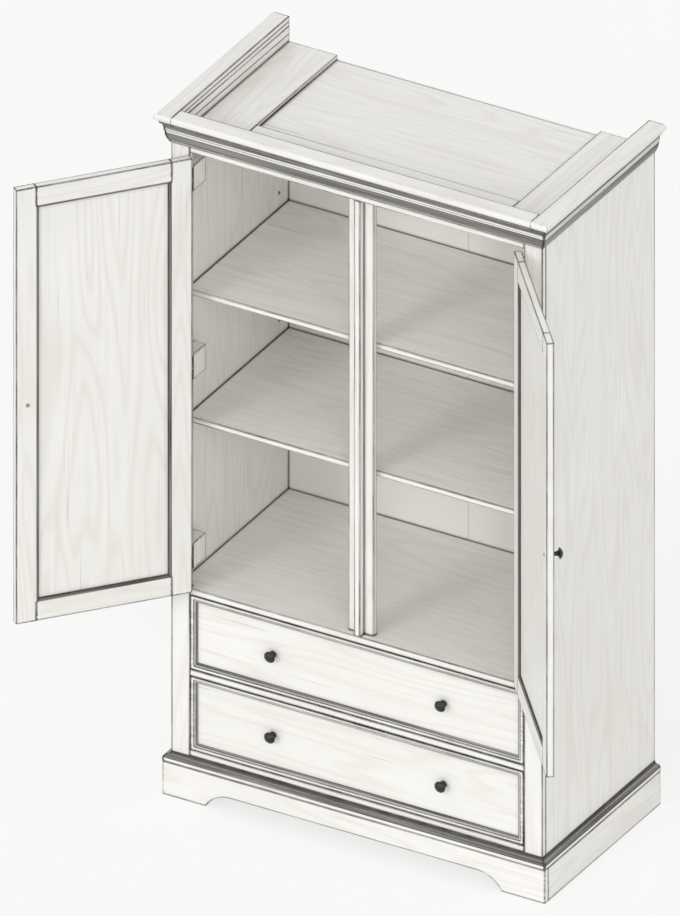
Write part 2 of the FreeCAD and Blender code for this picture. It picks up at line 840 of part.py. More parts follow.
def make_drawer(label, level):
    """A drawer: a front with a moulded border, a grooved box and two knobs."""
    width = opening_width - 2 * s.drawer_gap
    height = s.drawer_opening - 2 * s.drawer_gap
    bottom = level + s.drawer_gap
    box_bottom = level + s.runner_ledge_rise
    box_back = s.door_board + drawer_length
    side_x = s.stile_width + s.drawer_side_gap
    inner_x = side_x + s.drawer_side_board
    between = s.body_width - 2 * inner_x
    panel_level = box_bottom + s.drawer_bottom_height
    knob_level = bottom + height / 2
    field_depth = s.door_board - s.drawer_recess

    front = drawer_front_body(label + "_front_board", width, height)
    move_to(front, (s.stile_width + s.drawer_gap, 0, bottom))
    groove_at = (inner_x - s.drawer_groove, s.door_board - s.drawer_groove, panel_level)
    groove_size = (between + 2 * s.drawer_groove, s.drawer_groove + s.overrun, s.drawer_bottom_board)
    tools = [box("front_groove", groove_at, groove_size)]
    knobs = []
    for sign in (-1, 1):
        at = (middle + sign * s.drawer_knob_spread / 2, s.drawer_recess, knob_level)
        tools.append(knob_screw_bore(at, field_depth))
        knobs.append(knob_body(label + "_knob", at))
        knobs.append(knob_screw(label + "_knob_screw", at, field_depth))
    finish(cut(label + "_front_cut", front, tools), label + "_front", carcass)
    finish(group(label + "_knob_pair", knobs), label + "_knobs", carcass)

    sides = []
    for side in SIDES:
        corner = (from_left(side, side_x, s.drawer_side_board), s.door_board, box_bottom)
        size = (s.drawer_side_board, drawer_length, s.drawer_side_height)
        blank = box("drawer_side_blank", corner, size)
        groove_x = inner_x - s.drawer_groove
        groove_width = s.drawer_groove + s.overrun
        groove_corner = (from_left(side, groove_x, groove_width), s.door_board - s.overrun, panel_level)
        groove_size = (groove_width, drawer_length + 2 * s.overrun, s.drawer_bottom_board)
        sides.append(cut("drawer_side", blank, [box("side_groove", groove_corner, groove_size)]))
    finish(group(label + "_side_pair", sides), label + "_sides", carcass)

    tongue = s.drawer_groove - s.drawer_groove_play
    bottom_corner = (inner_x - tongue, s.door_board - tongue, panel_level)
    bottom_size = (between + 2 * tongue, drawer_length + tongue, s.drawer_bottom_board)
    board(label + "_bottom", bottom_corner, bottom_size)
    back_level = panel_level + s.drawer_bottom_board
    back_height = s.drawer_side_height - s.drawer_bottom_height - s.drawer_bottom_board
    back_corner = (inner_x, box_back - s.drawer_side_board, back_level)
    board(label + "_back", back_corner, (between, s.drawer_side_board, back_height))


def rectangle(inset, width, height):
    return [
        (inset, inset),
        (width - inset, inset),
        (width - inset, height - inset),
        (inset, height - inset),
    ]


def drawer_front_body(name, width, height):
    """A board whose field is sunk behind a flat border, a quirk and a sloped moulding."""
    body = document.addObject("PartDesign::Body", name)
    planes = {feature.Role: feature for feature in body.Origin.OriginFeatures}

    def front_sketch(title, inset):
        sketch = body.newObject("Sketcher::SketchObject", name + title)
        sketch.AttachmentSupport = (planes["XZ_Plane"], [""])
        sketch.MapMode = "FlatFace"
        draw_outline(sketch, rectangle(inset, width, height))
        return sketch

    pad = body.newObject("PartDesign::Pad", name + "_pad")
    pad.Profile = front_sketch("_rim", as_size(0))
    pad.Reversed = True
    bind(pad, "Length", s.door_board)
    quirk = body.newObject("PartDesign::Pocket", name + "_quirk")
    quirk.Profile = front_sketch("_border", s.drawer_border_flat)
    bind(quirk, "Length", s.drawer_quirk)
    slope_start = s.drawer_border_flat + s.drawer_quirk_ledge
    slope_run = s.drawer_border - slope_start
    field = body.newObject("PartDesign::Pocket", name + "_field")
    field.Profile = front_sketch("_slope", slope_start)
    bind(field, "Length", s.drawer_recess)
    bind(field, "TaperAngle", -arctangent(slope_run, s.drawer_recess))
    return body


def make_door(side):
    """A framed door hung on its pins, drawn closed about the hinge axis and then swung open."""
    is_left = side == "left"
    outward = "+x" if is_left else "-x"
    pivot = (from_left(side, hinge_inset) - middle, -hinge_offset - origin_depth, 0)
    home = (pivot, -s.door_angle if is_left else s.door_angle)

    def handed(outline):
        """An outline whose X runs from the hinge edge of the door, set out from the hinge axis."""
        shifted = [(point[0] + s.door_gap / 2,) + tuple(point[1:]) for point in outline]
        if is_left:
            return shifted
        return [mirrored_point(point, as_size(0)) for point in shifted]

    def turned(outline, width):
        return [mirrored_point(point, width) for point in outline]

    def lifted(outline):
        return [(point[0], door_bottom + point[1]) for point in outline]

    def raised(outline):
        return [(point[0], door_height - point[1]) for point in outline]

    shoulder = s.door_member - s.door_bevel
    member = s.door_member
    front_y = hinge_offset
    back_y = hinge_offset + s.door_board
    groove_y = front_y + s.panel_recess
    bevel_y = front_y + s.door_bevel_depth
    groove_end = member - s.panel_groove
    section = [
        (0, front_y),
        (shoulder, front_y),
        (member, bevel_y, s.door_bevel_radius, 1),
        (member, groove_y),
        (groove_end, groove_y),
        (groove_end, groove_y + s.panel_board),
        (member, groove_y + s.panel_board),
        (member, back_y - s.door_bevel_depth),
        (shoulder, back_y, s.door_bevel_radius, 1),
        (0, back_y),
    ]
    stile = [
        (0, 0),
        (shoulder, 0),
        (shoulder, shoulder),
        (member, member),
        (member, door_height - member),
        (shoulder, door_height - shoulder),
        (shoulder, door_height),
        (0, door_height),
    ]
    rail = [
        (shoulder, 0),
        (door_width - shoulder, 0),
        (door_width - shoulder, shoulder),
        (door_width - member, member),
        (member, member),
        (shoulder, shoulder),
    ]
    label = side + "_door"

    def make_member(name, plan, stock):
        face = prism(name + "_face", "XZ", handed(lifted(plan)), front_y, s.door_board)
        return common(name + "_member", face, stock)

    stile_plans = {"hinge_stile": (stile, section), "lock_stile": (
        turned(stile, door_width), turned(section, door_width))}
    pieces = {}
    for name, (plan, cross) in stile_plans.items():
        stock = prism(name + "_stock", "XY", handed(cross), door_bottom, door_height)
        pieces[name] = make_member(name, plan, stock)
    lying = [swapped(point) for point in section]
    for name, plan, cross in (("bottom_rail", rail, lying),
                              ("top_rail", raised(rail), [upturned(point) for point in lying])):
        cross = [(point[0], door_bottom + point[1]) + tuple(point[2:]) for point in cross]
        stock = prism(name + "_stock", "YZ", cross, from_axis(outward, 0, door_corner_x), door_corner_x)
        pieces[name] = make_member(name, plan, stock)

    knob_x = from_axis(outward, door_corner_x - s.door_knob_inset)
    knob_at = (knob_x, front_y, door_bottom + door_height / 2)
    knob_bore = knob_screw_bore(knob_at, s.door_board)
    pieces["lock_stile"] = cut("lock_stile_bored", pieces["lock_stile"], [knob_bore])
    bores = []
    screws = [knob_screw("knob_screw", knob_at, s.door_board)]
    for z, y in hinge_screw_places():
        edge = (from_axis(outward, s.door_gap / 2), front_y + y, z)
        length = s.screw_length - s.leaf_board + s.screw_play
        bores.append(cylinder("door_screw_bore", edge, outward, s.screw_radius + s.screw_play, length))
        screws.append(hinge_screw((from_axis(outward, leaf_start), front_y + y, z), outward))
    pieces["hinge_stile"] = cut("hinge_stile_bored", pieces["hinge_stile"], bores)
    for name, piece in pieces.items():
        finish(piece, label + "_" + name, home)

    edge_in = groove_end + s.panel_play
    panel = rectangle_between(edge_in, edge_in, door_width - edge_in, door_height - edge_in)
    panel_piece = prism("door_panel", "XZ", handed(lifted(panel)), groove_y, s.panel_board)
    finish(panel_piece, label + "_panel", home)
    finish(group("door_knob", [knob_body("turned_knob", knob_at)]), label + "_knob", home)
    finish(group("door_screws", screws), label + "_screws", home)
    leaves = [hinge_leaf(level, outward, DOOR_KNUCKLES) for level in hinge_levels]
    finish(group("door_leaves", leaves), label + "_hinge_leaves", home)


def rectangle_between(low_x, low_y, high_x, high_y):
    return [(low_x, low_y), (high_x, low_y), (high_x, high_y), (low_x, high_y)]


def swapped(point):
    """A section point for a rail: the two directions change places and the turn reverses."""
    if len(point) == 2:
        return (point[1], point[0])
    return (point[1], point[0], point[2], -point[3])


def upturned(point):
    """A rail's section point for the top rail, whose moulded edge faces down."""
    if len(point) == 2:
        return (point[0], door_height - point[1])
    return (point[0], door_height - point[1], point[2], -point[3])


def hinge_screw(at, direction):
    """A countersunk wood screw, its head flush with the face of the leaf."""
    head = cone("screw_head", at, direction, s.screw_head_radius, s.screw_radius, s.leaf_board)
    shank = cylinder("screw_shank", at, direction, s.screw_radius, s.screw_length)
    return fuse("hinge_screw", [head, shank])


def from_axis(direction, x, width=0):
    """The low X, from a hinge's axis, of what lies x away from the axis in a direction."""
    return as_size(x) if direction == "+x" else -(x + width)


def hinge_leaf(level, outward, knuckles):
    """One hinge leaf about its axis: a bored plate, webs and its share of the knuckles."""
    knuckle = s.hinge_height / KNUCKLE_COUNT
    low = level - s.hinge_height / 2
    plate_x = from_axis(outward, leaf_start, s.leaf_board)
    plate_at = (plate_x, hinge_offset, low)
    shapes = [box("leaf_plate", plate_at, (s.leaf_board, s.leaf_width, s.hinge_height))]
    for index in knuckles:
        z = low + index * knuckle + s.knuckle_play / 2
        height = knuckle - s.knuckle_play
        web_at = (plate_x, 0, z)
        shapes.append(box("leaf_web", web_at, (s.leaf_board, hinge_offset, height)))
        shapes.append(cylinder("leaf_knuckle", (0, 0, z), "+z", s.barrel_radius, height))
    solid = fuse("leaf_solid", shapes)
    bore_length = s.hinge_height + 2 * s.overrun
    tools = [cylinder("pin_bore", (0, 0, low - s.overrun), "+z", s.pin_radius + s.pin_play, bore_length)]
    for z, y in leaf_screw_places(level):
        at = (from_axis(outward, leaf_start), hinge_offset + y, z)
        wide = s.screw_head_radius + s.screw_play
        narrow = s.screw_radius + s.screw_play
        tools.append(cone("countersink", at, outward, wide, narrow, s.leaf_board))
    return cut("hinge_leaf", solid, tools)


def make_frame_hinges():
    """The fixed leaves on the stiles, with their screws and the pins of all six hinges."""
    leaves = []
    pins = []
    screws = []
    for side in SIDES:
        axis_x = from_left(side, hinge_inset)
        inward = "-x" if side == "left" else "+x"
        for level in hinge_levels:
            leaf = hinge_leaf(level, inward, FRAME_KNUCKLES)
            move_to(leaf, (axis_x, -hinge_offset, 0))
            leaves.append(leaf)
            pins.append(hinge_pin(axis_x, level))
        for z, y in hinge_screw_places():
            screws.append(hinge_screw((axis_x + from_axis(inward, leaf_start), y, z), inward))
    finish(group("frame_leaves", leaves), "frame_hinge_leaves", carcass)
    finish(group("pins_of_hinges", pins), "hinge_pins", carcass)
    finish(group("frame_screws", screws), "frame_hinge_screws", carcass)


def hinge_pin(axis_x, level):
    """A hinge pin with a button head at each end."""
    low = level - s.hinge_height / 2 + s.knuckle_play / 2
    height = s.hinge_height - s.knuckle_play
    shank = cylinder("pin", (axis_x, -hinge_offset, low), "+z", s.pin_radius, height)
    heads = []
    for z in (low - s.pin_head_rise, low + height):
        at = (axis_x, -hinge_offset, z)
        heads.append(cylinder("pin_head", at, "+z", s.pin_head_radius, s.pin_head_rise))
    return fuse("hinge_pin", [shank] + heads)


make_side_panels()
make_stiles()
make_carcass_boards()
make_shelves()
make_hinge_blocks()
make_plinth()
make_plinth_cap()
make_battens()
make_cornice()
make_runners()
make_drawer("lower_drawer", lower_drawer_level)
make_drawer("upper_drawer", upper_drawer_level)
make_frame_hinges()
for door_side in SIDES:
    make_door(door_side)

document.recompute()

for thing in document.Objects:
    if "Invalid" in thing.State or "Error" in thing.State:
        raise RuntimeError(thing.Label + " failed: " + str(thing.State))
for piece in finished:
    if piece.Shape.isNull() or not piece.Shape.isValid():
        raise RuntimeError(piece.Label + " has no valid shape")
    if not piece.Shape.Solids:
        raise RuntimeError(piece.Label + " has no solid")

os.makedirs("parts", exist_ok=True)
for piece in finished:
    piece.Shape.exportStep("parts/" + piece.Label + ".step")
print(len(finished), "pieces written")
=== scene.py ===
import json
import math

import bmesh
import bpy
from mathutils import Matrix, Vector


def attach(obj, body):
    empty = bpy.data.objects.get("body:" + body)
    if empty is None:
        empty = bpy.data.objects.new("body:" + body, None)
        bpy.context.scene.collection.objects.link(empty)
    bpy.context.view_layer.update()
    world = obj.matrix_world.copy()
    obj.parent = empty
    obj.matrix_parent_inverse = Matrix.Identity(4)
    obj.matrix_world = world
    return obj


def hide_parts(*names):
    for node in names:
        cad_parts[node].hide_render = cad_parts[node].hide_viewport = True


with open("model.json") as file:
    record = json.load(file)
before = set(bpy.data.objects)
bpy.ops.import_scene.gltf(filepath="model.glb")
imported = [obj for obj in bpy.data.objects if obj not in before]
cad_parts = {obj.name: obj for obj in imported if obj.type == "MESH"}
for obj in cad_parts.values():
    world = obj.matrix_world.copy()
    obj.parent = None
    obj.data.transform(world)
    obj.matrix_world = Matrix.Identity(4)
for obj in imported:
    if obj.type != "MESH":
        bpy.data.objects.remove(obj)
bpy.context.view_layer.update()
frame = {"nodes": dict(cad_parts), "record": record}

# The room: a pale floor that meets a white background, a soft lamp from the front left, a weaker
# one from the front right and a plain white sky. The view is the drawing's own: parallel, from 30
# degrees to the right of the front and 30 degrees above it.
VIEW_TURN = math.radians(30)
VIEW_RISE = math.radians(30)
VIEW_CENTRE = Vector((-0.2029, 0.1819, 0.8837))
VIEW_DISTANCE = 6.0
PICTURE_HEIGHT = 2.2019
FLOOR_REACH = 14.0
SKY_LIGHT = 0.72
FLOOR_WHITENESS = 0.75


def linear(hex_colour):
    """The linear colour of an sRGB hex value."""
    channels = [int(hex_colour[start:start + 2], 16) / 255 for start in (1, 3, 5)]
    return [c / 12.92 if c <= 0.04045 else ((c + 0.055) / 1.055) ** 2.4 for c in channels] + [1.0]


def add_node(tree, kind, settings=None, links=None):
    """Add a node, give its sockets and options their values, and link other nodes to it."""
    node = tree.nodes.new(kind)
    for key, value in (settings or {}).items():
        if isinstance(key, int) or key in node.inputs:
            node.inputs[key].default_value = value
        else:
            setattr(node, key, value)
    for key, socket in (links or {}).items():
        tree.links.new(socket, node.inputs[key])
    return node


def place(name, data):
    """A new object at the origin of the scene."""
    thing = bpy.data.objects.new(name, data)
    bpy.context.scene.collection.objects.link(thing)
    return thing


def seen_white(tree):
    """1 where the camera, a reflection or a clear surface looks straight at the background."""
    path = add_node(tree, "ShaderNodeLightPath")
    either = add_node(tree, "ShaderNodeMath", {"operation": "MAXIMUM"},
                      {0: path.outputs["Is Camera Ray"], 1: path.outputs["Is Glossy Ray"]})
    return add_node(tree, "ShaderNodeMath", {"operation": "MAXIMUM"},
                    {0: either.outputs[0], 1: path.outputs["Is Transmission Ray"]}).outputs[0]


sky = bpy.data.worlds.new("white_room")
sky.use_nodes = True
sky.node_tree.nodes.clear()
dim = add_node(sky.node_tree, "ShaderNodeBackground", {"Color": linear("#FFFFFF"), "Strength": SKY_LIGHT})
plain = add_node(sky.node_tree, "ShaderNodeBackground", {"Color": linear("#FFFFFF"), "Strength": 1.0})
sky_mix = add_node(sky.node_tree, "ShaderNodeMixShader", {},
                   {0: seen_white(sky.node_tree), 1: dim.outputs[0], 2: plain.outputs[0]})
add_node(sky.node_tree, "ShaderNodeOutputWorld", {}, {"Surface": sky_mix.outputs[0]})
bpy.context.scene.world = sky
bpy.context.scene.view_settings.view_transform = "Standard"

floor_mesh = bpy.data.meshes.new("floor")
floor_mesh.from_pydata(
    [(-FLOOR_REACH, -FLOOR_REACH, 0), (FLOOR_REACH, -FLOOR_REACH, 0),
     (FLOOR_REACH, FLOOR_REACH, 0), (-FLOOR_REACH, FLOOR_REACH, 0)], [], [(0, 1, 2, 3)])
floor = place("floor", floor_mesh)
floor_paint = bpy.data.materials.new("pale_floor")
floor_paint.use_nodes = True
floor_tree = floor_paint.node_tree
floor_tree.nodes.clear()
floor_matt = add_node(floor_tree, "ShaderNodeBsdfDiffuse", {"Color": linear("#F4F4F2")})
floor_glow = add_node(floor_tree, "ShaderNodeEmission", {"Color": linear("#FFFFFF"), "Strength": 1.0})
floor_share = add_node(floor_tree, "ShaderNodeMath", {"operation": "MULTIPLY", 1: FLOOR_WHITENESS},
                       {0: seen_white(floor_tree)})
floor_mix = add_node(floor_tree, "ShaderNodeMixShader", {},
                     {0: floor_share.outputs[0], 1: floor_matt.outputs[0], 2: floor_glow.outputs[0]})
add_node(floor_tree, "ShaderNodeOutputMaterial", {}, {"Surface": floor_mix.outputs[0]})
floor_mesh.materials.append(floor_paint)

# Each lamp: the way its light travels, how strong it is and how soft its shadows are, in degrees.
LAMPS = {
    "window_lamp": ((0.25, 0.88, -0.42), 0.62, 20),
    "side_lamp": ((-0.55, 0.75, -0.45), 0.60, 35),
}
for lamp_name, (travel, strength, softness) in LAMPS.items():
    light = bpy.data.lights.new(lamp_name, "SUN")
    light.energy = strength
    light.angle = math.radians(softness)
    lamp = place(lamp_name, light)
    lamp.rotation_euler = Vector(travel).to_track_quat("-Z", "Y").to_euler()

eye = bpy.data.cameras.new("drawing_view")
eye.type = "ORTHO"
eye.ortho_scale = PICTURE_HEIGHT
camera = place("drawing_view", eye)
towards_eye = Vector((math.sin(VIEW_TURN) * math.cos(VIEW_RISE),
                      -math.cos(VIEW_TURN) * math.cos(VIEW_RISE), math.sin(VIEW_RISE)))
camera.location = VIEW_CENTRE + VIEW_DISTANCE * towards_eye
camera.rotation_euler = (math.pi / 2 - VIEW_RISE, 0, VIEW_TURN)
bpy.context.scene.camera = camera

# The plinth: softwood boards round the foot of the cupboard, the front one cut out to an arch, with
# a mitred moulding on top. All of it is sprayed with a white satin lacquer, rubbed back at the
# edges and toned with a dark glaze on the moulding's curves, and painted shade darkens its
# corners.
RECORD = frame["record"]
BODY_OF = {node: body for body, nodes in RECORD["behaviour"]["bodies"].items() for node in nodes}
WELD_DISTANCE = 1e-6
FLAT_ANGLE = math.radians(0.6)
EDGE_ANGLE = math.radians(35)
BOARD_EASE = 0.0015
MOULDING_EASE = 0.0004
EDGE_SEGMENTS = 2
# A face whose largest normal part is below this is a curve or slope of a moulding.
SQUARE_ON = 0.998

GRAINS = ("upright", "across", "deep")
LACQUER = "#F7F6F3"
LACQUER_SHADE = "#EFEDE8"
LACQUER_IOR = 1.47
GRAIN_SHADE = "#E3DED5"
GRAIN_SHOWING = 0.4
FIBRE_RELIEF = 0.0004
# The dark colour of the glaze left on the mouldings' slopes, also mixed in as painted shade in corners and
# beside other parts.
PAINTED_SHADE_AND_GLAZE = "#2E2A25"
# The most painted shade that a closed-in spot gets.
PAINTED_SHADE_FULL = 0.95
RUBBED_EDGE = "#2E2924"
CORNER_SAMPLES = 5
# Spray and rubbing marks are about 1 mm apart. They are drawn 6 mm apart, so that they show.
STREAK_LENGTH = 0.35
STREAK_WIDTH = 0.006
# The softwood's growth lines show faintly through the lacquer, 6 to 20 mm apart.
GROWTH_LENGTH = 1.1
GROWTH_WIDTH = 0.11
GROWTH_LINES = 12
CLOUD_SIZE = 0.4
WEAR_SIZE = 0.05
# How far out of a corner the painted shade reaches, with the openness of a spot that is fully
# shaded or not shaded at all, and how far back from an arris the lacquer is rubbed.
BOARD_TONE = (0.008, 0.40, 0.92, 0.0048)
MOULDING_TONE = (0.012, 0.45, 0.93, 0.0045)
# The share of glaze that the wiping rag leaves on the curves and slopes of a moulding.
LEFT_ON_SLOPES = 0.84
LIGHT_STREAK = 0.75
DARK_STREAK = 1.2


def along_grain(grain, length, width):
    """The size of a pattern that is long along the grain: upright, across or deep."""
    return {"upright": (width, width, length), "across": (length, width, width),
            "deep": (width, length, width)}[grain]


def new_finish(name):
    """An empty material and its node tree."""
    finish = bpy.data.materials.new(name)
    finish.use_nodes = True
    finish.node_tree.nodes.clear()
    return finish, finish.node_tree


def grain_noise(tree, spot, grain, turn, length, width, detail):
    """Noise drawn out along the grain of a board that may be turned about the upright."""
    along = add_node(tree, "ShaderNodeMapping",
                     {"vector_type": "TEXTURE", "Rotation": (0, 0, turn),
                      "Scale": along_grain(grain, length, width)}, {"Vector": spot})
    return add_node(tree, "ShaderNodeTexNoise", {"Scale": 1.0, "Detail": detail, "Roughness": 0.55},
                    {"Vector": along.outputs[0]}).outputs["Fac"]


def growth_rings(tree, spot, grain, turn):
    """The growth lines of a plain-sawn softwood board, 1 on a line and 0 between two lines."""
    field = grain_noise(tree, spot, grain, turn, GROWTH_LENGTH, GROWTH_WIDTH, 1.0)
    lines = add_node(tree, "ShaderNodeMath", {"operation": "MULTIPLY", 1: GROWTH_LINES * 2.0}, {0: field})
    wave = add_node(tree, "ShaderNodeMath", {"operation": "PINGPONG", 1: 1.0}, {0: lines.outputs[0]})
    return add_node(tree, "ShaderNodeMapRange", {"From Min": 0.45, "From Max": 1.0},
                    {"Value": wave.outputs[0]}).outputs[0]


def satin_lacquer(name, grain, turn=0.0, tone=BOARD_TONE, left_on=0.0):
    """White satin lacquer on softwood: even, slightly streaked, with the growth lines just showing.
    Painted shade darkens the corners and the spots beside other parts, and rubbing has bared a dark
    ground along the arrises. A share of dark glaze may be left all over, in streaks along the grain."""
    finish, tree = new_finish(name)
    shade_reach, closed, opened, wear_reach = tone
    spot = add_node(tree, "ShaderNodeTexCoord").outputs["Object"]
    streaks = grain_noise(tree, spot, grain, turn, STREAK_LENGTH, STREAK_WIDTH, 3.0)
    clouds = add_node(tree, "ShaderNodeTexNoise", {"Scale": 1 / CLOUD_SIZE, "Detail": 2.0}, {"Vector": spot})
    thin = add_node(tree, "ShaderNodeMath", {"operation": "MULTIPLY"},
                    {0: streaks, 1: clouds.outputs["Fac"]})
    shade = add_node(tree, "ShaderNodeMapRange", {"From Min": 0.12, "From Max": 0.42},
                     {"Value": thin.outputs[0]})
    paint = add_node(tree, "ShaderNodeMix",
                     {"data_type": "RGBA", 6: linear(LACQUER_SHADE), 7: linear(LACQUER)},
                     {0: shade.outputs[0]})
    rings = growth_rings(tree, spot, grain, turn)
    faint = add_node(tree, "ShaderNodeMath", {"operation": "MULTIPLY", 1: GRAIN_SHOWING}, {0: rings})
    grained = add_node(tree, "ShaderNodeMix", {"data_type": "RGBA", 7: linear(GRAIN_SHADE)},
                       {0: faint.outputs[0], 6: paint.outputs[2]})
    arris = add_node(tree, "ShaderNodeAmbientOcclusion",
                     {"samples": CORNER_SAMPLES, "inside": True, "only_local": True, "Distance": wear_reach})
    ragged = add_node(tree, "ShaderNodeMath", {"operation": "MULTIPLY_ADD", 1: 0.5},
                      {0: streaks, 2: arris.outputs["AO"]})
    bared = add_node(tree, "ShaderNodeMapRange",
                     {"From Min": 1.00, "From Max": 1.17, "To Min": 1.0, "To Max": 0.0},
                     {"Value": ragged.outputs[0]})
    patches = add_node(tree, "ShaderNodeTexNoise", {"Scale": 1 / WEAR_SIZE, "Detail": 4.0}, {"Vector": spot})
    uneven = add_node(tree, "ShaderNodeMapRange",
                      {"From Min": 0.3, "From Max": 0.6, "To Min": 0.75, "To Max": 1.0},
                      {"Value": patches.outputs["Fac"]})
    rubbed = add_node(tree, "ShaderNodeMath", {"operation": "MULTIPLY"},
                      {0: bared.outputs[0], 1: uneven.outputs[0]})
    worn = add_node(tree, "ShaderNodeMix", {"data_type": "RGBA", 7: linear(RUBBED_EDGE)},
                    {0: rubbed.outputs[0], 6: grained.outputs[2]})
    # Painted shade: the colour darkens in corners and beside other parts, by how closed in each spot is.
    corner = add_node(tree, "ShaderNodeAmbientOcclusion",
                      {"samples": CORNER_SAMPLES, "Distance": shade_reach})
    shade_and_glaze = add_node(tree, "ShaderNodeMapRange",
                    {"From Min": closed, "From Max": opened, "To Min": PAINTED_SHADE_FULL, "To Max": 0.0},
                    {"Value": corner.outputs["AO"]})
    if left_on:
        wiped = add_node(tree, "ShaderNodeMapRange",
                         {"From Min": 0.3, "From Max": 0.7,
                          "To Min": left_on * LIGHT_STREAK, "To Max": left_on * DARK_STREAK},
                         {"Value": streaks})
        shade_and_glaze = add_node(tree, "ShaderNodeMath", {"operation": "MAXIMUM"},
                        {0: shade_and_glaze.outputs[0], 1: wiped.outputs[0]})
    shaded_and_glazed = add_node(tree, "ShaderNodeMix", {"data_type": "RGBA", 7: linear(PAINTED_SHADE_AND_GLAZE)},
                      {0: shade_and_glaze.outputs[0], 6: worn.outputs[2]})
    sheen = add_node(tree, "ShaderNodeMapRange", {"To Min": 0.36, "To Max": 0.5}, {"Value": streaks})
    relief = add_node(tree, "ShaderNodeBump", {"Strength": 0.3, "Distance": FIBRE_RELIEF},
                      {"Height": streaks})
    surface = add_node(tree, "ShaderNodeBsdfPrincipled", {"IOR": LACQUER_IOR},
                       {"Base Color": shaded_and_glazed.outputs[2], "Roughness": sheen.outputs[0],
                        "Normal": relief.outputs[0]})
    add_node(tree, "ShaderNodeOutputMaterial", {}, {"Surface": surface.outputs[0]})
    return finish


BOARD = {grain: satin_lacquer("satin_board_" + grain, grain) for grain in GRAINS}
MOULDING = {grain: satin_lacquer("satin_moulding_" + grain, grain, tone=MOULDING_TONE) for grain in GRAINS}
GLAZED = {grain: satin_lacquer("glazed_moulding_" + grain, grain, tone=MOULDING_TONE,
                               left_on=LEFT_ON_SLOPES) for grain in GRAINS}


def welded(node):
    """A copy of a node's mesh with its loose triangles joined up and its flat faces whole."""
    mesh = frame["nodes"][node].data.copy()
    shell = bmesh.new()
    shell.from_mesh(mesh)
    bmesh.ops.remove_doubles(shell, verts=shell.verts, dist=WELD_DISTANCE)
    bmesh.ops.dissolve_limit(shell, angle_limit=FLAT_ANGLE, verts=shell.verts, edges=shell.edges)
    for face in shell.faces:
        face.smooth = True
        face.material_index = 0
    mesh.clear_geometry()
    shell.to_mesh(mesh)
    shell.free()
    return mesh


def settle(piece, body, node):
    """Let a finished piece ride on its body in place of its node."""
    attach(piece, body)
    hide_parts(node)


def eased(node, ease, finish, *others):
    """A piece with its sharp edges rubbed round, in place of its node. Each other finish comes with
    the test that picks its faces, and a later one wins."""
    mesh = welded(node)
    mesh.materials.clear()
    mesh.materials.append(finish)
    for index, (other, picks) in enumerate(others, 1):
        mesh.materials.append(other)
        for face in mesh.polygons:
            if picks(face):
                face.material_index = index
    piece = place(node + "_eased", mesh)
    round_over = piece.modifiers.new("eased_edges", "BEVEL")
    round_over.limit_method = "ANGLE"
    round_over.angle_limit = EDGE_ANGLE
    round_over.width = ease
    round_over.segments = EDGE_SEGMENTS
    flat = piece.modifiers.new("flat_faces", "WEIGHTED_NORMAL")
    flat.weight = 100
    shaped = piece.evaluated_get(bpy.context.evaluated_depsgraph_get())
    piece.data = bpy.data.meshes.new_from_object(shaped)
    piece.modifiers.clear()
    settle(piece, BODY_OF[node], node)
    return piece


def slopes(turn=0.0):
    """A test for the curved and sloped faces of a moulding that is turned about the upright."""
    back = Matrix.Rotation(-turn, 3, "Z")
    return lambda face: max(abs(part) for part in back @ face.normal) < SQUARE_ON


def moulded(node, grain):
    """A straight moulding, with the glaze left on its curves and slopes."""
    eased(node, MOULDING_EASE, MOULDING[grain], (GLAZED[grain], slopes()))


RUNS = (("front", "across"), ("left", "deep"), ("right", "deep"))
for run, grain in RUNS:
    eased("plinth_" + run, BOARD_EASE, BOARD[grain])
for run, grain in RUNS:
    moulded("plinth_cap_" + run, grain)

# The carcass: board sides, bottom, floor and top, glued behind a solid face frame of two stiles, a
# drawer rail and a centre post, with a wider board behind the post that the doors close against.
for node in ("side_panel_left", "side_panel_right", "frame_stile_left", "frame_stile_right",
             "centre_post", "door_stop_board", "hinge_blocks"):
    eased(node, BOARD_EASE, BOARD["upright"])
for node in ("bottom_panel", "cupboard_floor", "top_panel", "drawer_rail", "lower_shelf", "upper_shelf"):
    eased(node, BOARD_EASE, BOARD["across"])

# The cornice: battens on the top panel, and on them the mitred bed moulding and the nosed crown
# boards. The crown's side boards run through to the front, and so do the side battens.
FRONT_BATTEN_END = 0.365
# The nose is rubbed back along a finer line than the other mouldings, and wiped clean of glaze.
NOSE_TONE = (0.012, 0.45, 0.93, 0.0015)
NOSE_FOOT = 1.8725
# The crown's inner faces look towards the middle of the top, which is this far back.
TOP_MIDDLE_Y = 0.18


def crown_slopes(face):
    """A test for the cove under the crown's nose and the quirks in its inner face, and not the nose."""
    inwards = Vector((-face.center.x, TOP_MIDDLE_Y - face.center.y, 0))
    return slopes()(face) and (face.center.z < NOSE_FOOT or face.normal.dot(inwards) > 0)


eased("top_battens", BOARD_EASE, BOARD["deep"],
      (BOARD["across"], lambda face: abs(face.center.x) < FRONT_BATTEN_END))
NOSE = {grain: satin_lacquer("satin_nose_" + grain, grain, tone=NOSE_TONE) for grain in ("across", "deep")}
for run, grain in RUNS:
    moulded("cornice_" + run, grain)
    eased("crown_" + run, MOULDING_EASE, MOULDING[grain], (NOSE[grain], slopes()),
          (GLAZED[grain], crown_slopes))

# The drawer fronts: boards with a flat border, a quirk and a sloped moulding round a sunk field. The
# glaze is wiped along each slope, so its streaks run upright at the two ends.
FACING_SIDEWAYS = 0.1


def end_slopes(face):
    """A test for the slopes at the left and right ends of a drawer's field."""
    return slopes()(face) and abs(face.normal.x) > FACING_SIDEWAYS


for drawer in ("upper_drawer", "lower_drawer"):
    eased(drawer + "_front", MOULDING_EASE, MOULDING["across"], (GLAZED["across"], slopes()),
          (GLAZED["upright"], end_slopes))

